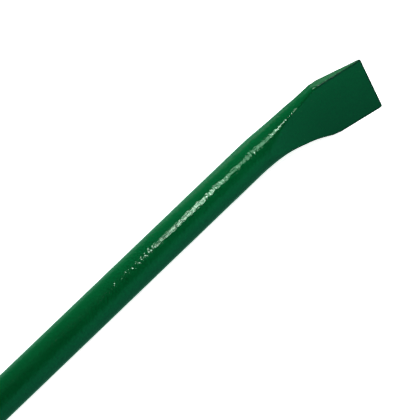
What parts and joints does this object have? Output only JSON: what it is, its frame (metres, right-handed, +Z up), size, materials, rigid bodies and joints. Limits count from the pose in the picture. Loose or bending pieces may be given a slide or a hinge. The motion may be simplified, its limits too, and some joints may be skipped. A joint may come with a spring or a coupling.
{
  "type": "crowbar",
  "caption": "Long round steel crowbar, forged to a cranked and flared chisel blade at one end and to a tapered point at the other, painted green.",
  "frame": {"origin": "on the floor, under the centre of the bounding box of the bar as it lies", "axes": "+X along the straight shank towards the chisel, +Z up, and the blade's concave face looks to -Y and up"},
  "size_m": [1.5, 0.0644, 0.0588],
  "materials": {
    "green_paint": "thick glossy green enamel with a fine orange-peel texture, over forged steel"
  },
  "bodies": {
    "root": {"forged_bar": "green_paint"}
  },
  "joints": []
}
